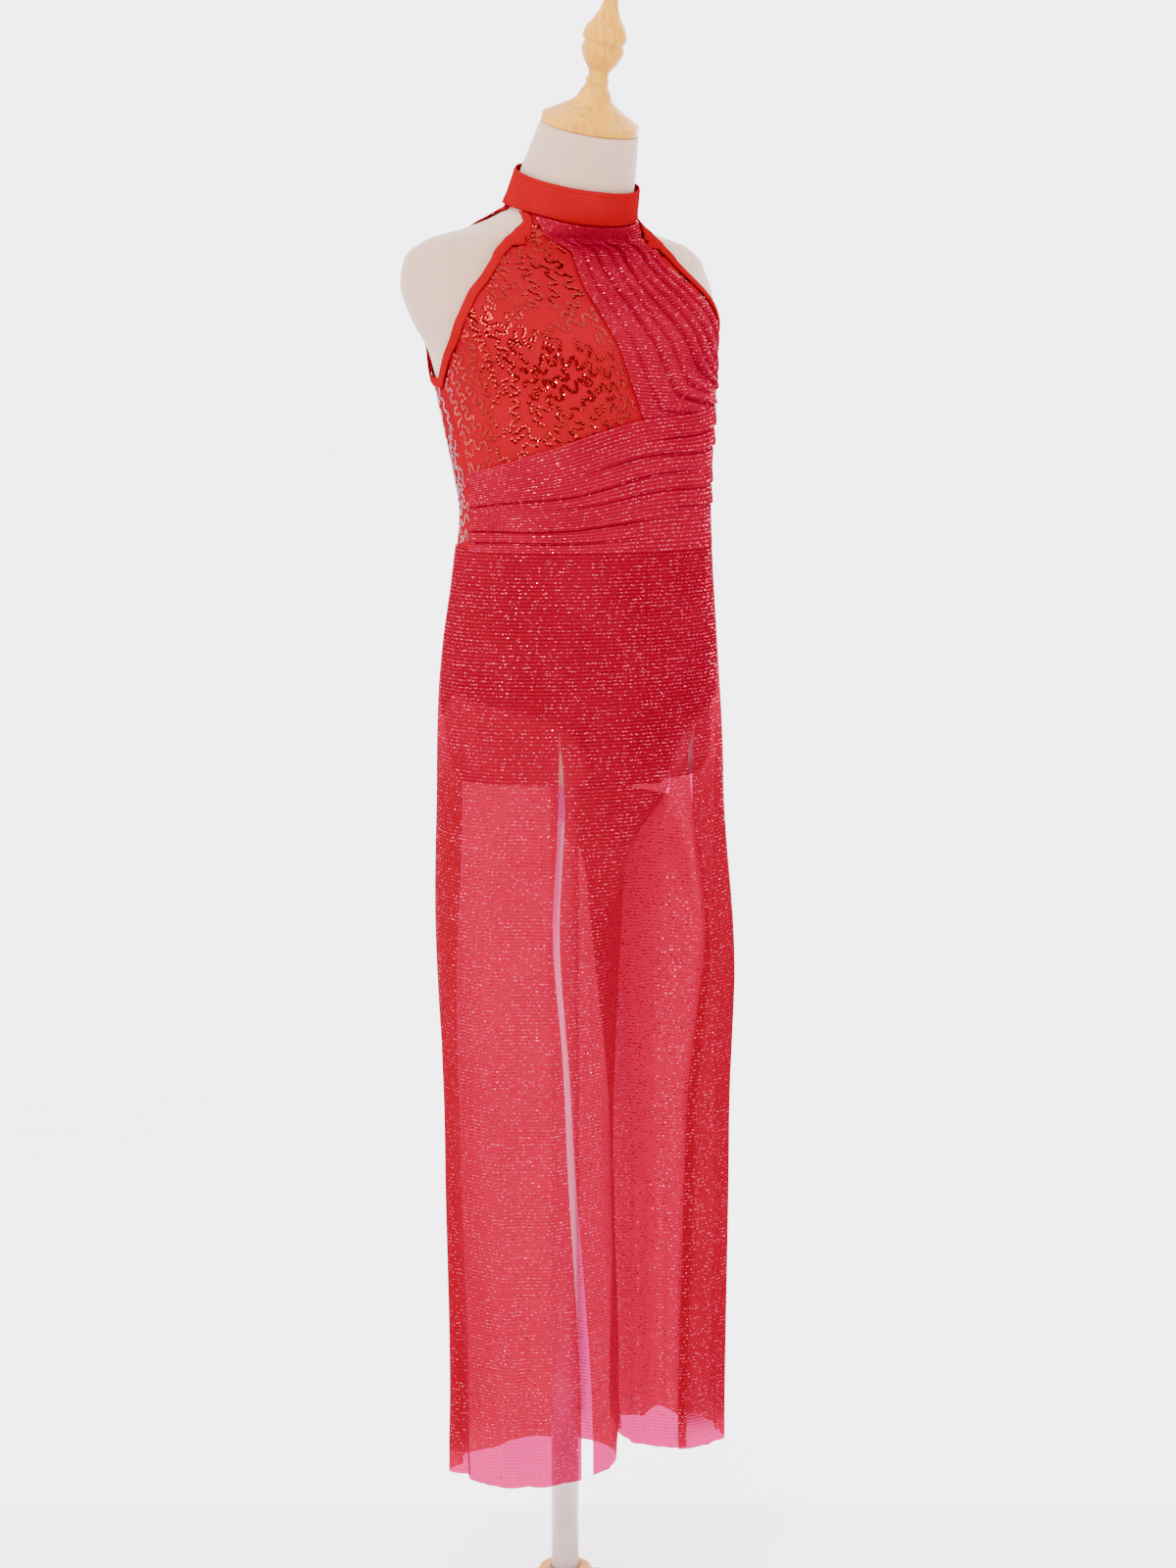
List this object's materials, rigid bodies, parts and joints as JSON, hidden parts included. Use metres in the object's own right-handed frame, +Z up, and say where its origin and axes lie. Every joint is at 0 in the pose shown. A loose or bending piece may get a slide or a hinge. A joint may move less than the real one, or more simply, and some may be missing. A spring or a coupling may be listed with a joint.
{
  "type": "dance jumpsuit on a dress form",
  "caption": "Halter-neck dance jumpsuit with a sequin bodice, pleated mesh drapes and sheer slit trousers, on a limbless dress form.",
  "frame": {"origin": "centre of the base's underside, on the floor", "axes": "+Z up along the pole; the garment faces -Y, so its wearer's right is -X"},
  "size_m": [0.3156, 0.2406, 1.4662],
  "materials": {
    "red_knit": "smooth satin knit",
    "red_sequin": "sequins sewn in winding rows on knit",
    "glitter_mesh": "sheer mesh with rows of foil dots",
    "brief_knit": "matt knit",
    "linen": "plain weave cover",
    "turned_wood": "clear satin",
    "pole_paint": "satin"
  },
  "bodies": {
    "root": {"collar": "red_knit", "bodice_front": "red_sequin", "bodice_back": "red_sequin", "binding_right": "red_knit", "binding_left": "red_knit", "drape_bust": "glitter_mesh", "drape_waist": "glitter_mesh", "brief_front": "brief_knit", "brief_back": "brief_knit", "leg_right_front": "glitter_mesh", "leg_right_back": "glitter_mesh", "leg_left_front": "glitter_mesh", "leg_left_back": "glitter_mesh", "form_torso": "linen", "neck_finial": "turned_wood", "stand_pole": "pole_paint", "stand_base": "turned_wood"}
  },
  "joints": []
}
